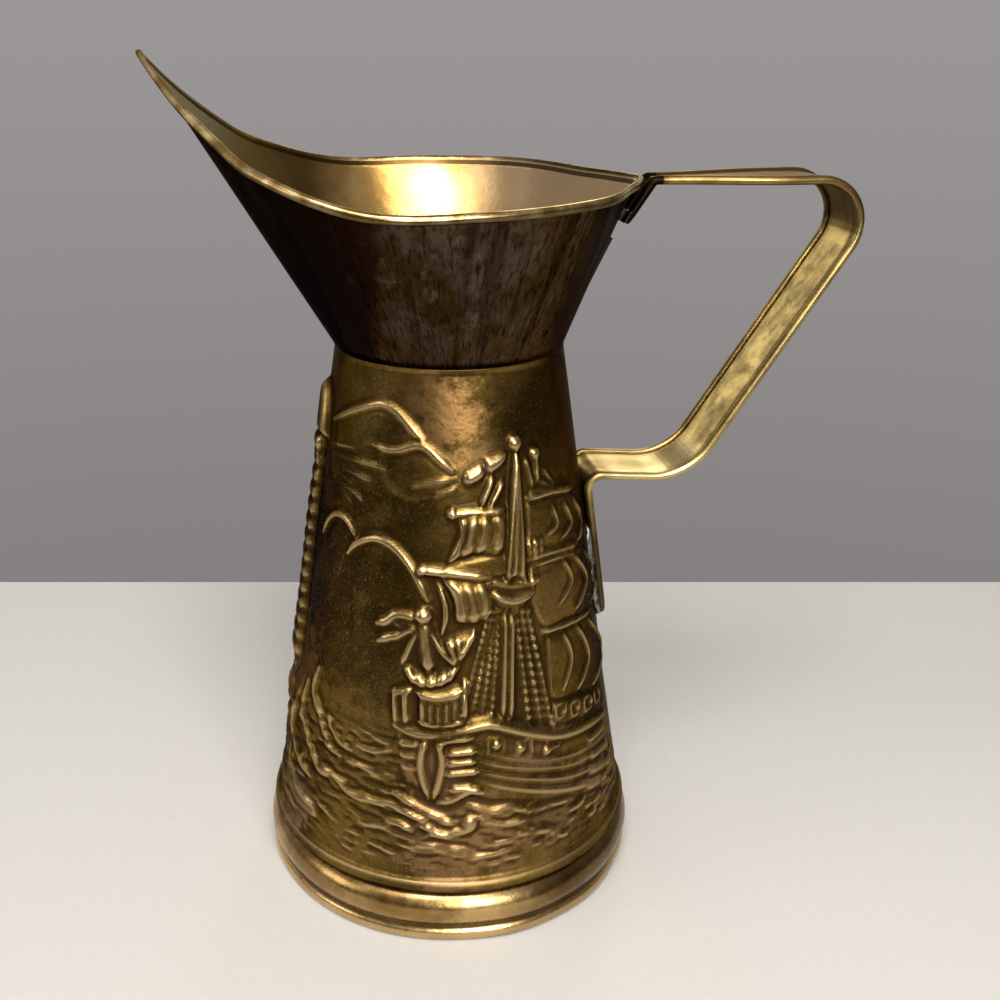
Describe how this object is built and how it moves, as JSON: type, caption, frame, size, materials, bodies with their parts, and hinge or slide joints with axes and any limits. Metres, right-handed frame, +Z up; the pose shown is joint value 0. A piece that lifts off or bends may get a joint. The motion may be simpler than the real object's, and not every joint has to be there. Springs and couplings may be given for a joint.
{
  "type": "brass pitcher",
  "caption": "Brass sheet pitcher: tapered embossed body, flared collar drawn out to a pointed lip, beaded rolled foot and an angular strap handle.",
  "frame": {"origin": "centre of the plane that the foot stands on, on the body's axis", "axes": "+Z up along the body's axis; the pouring lip points to -X and the handle to +X"},
  "size_m": [0.2082, 0.133, 0.2581],
  "materials": {
    "brass_dark": "aged, darkened brass with rubbed high spots",
    "brass_gold": "polished brass, warm and slightly coppery",
    "brass_pale": "rubbed pale brass",
    "wire": "plain drawn wire, hidden in the rolled edges",
    "solder": "soft grey solder"
  },
  "bodies": {
    "root": {"body_shell": "brass_dark", "body_seam_solder": "solder", "foot_ring": "brass_gold", "foot_solder": "solder", "base_disc": "brass_gold", "base_solder": "solder", "spout_collar": "brass_dark", "rim_wire": "wire", "neck_solder": "solder", "collar_seam_solder": "solder", "handle_strap": "brass_pale", "handle_wire_left": "wire", "handle_wire_right": "wire", "handle_upper_solder": "solder", "handle_lower_solder": "solder"}
  },
  "joints": []
}
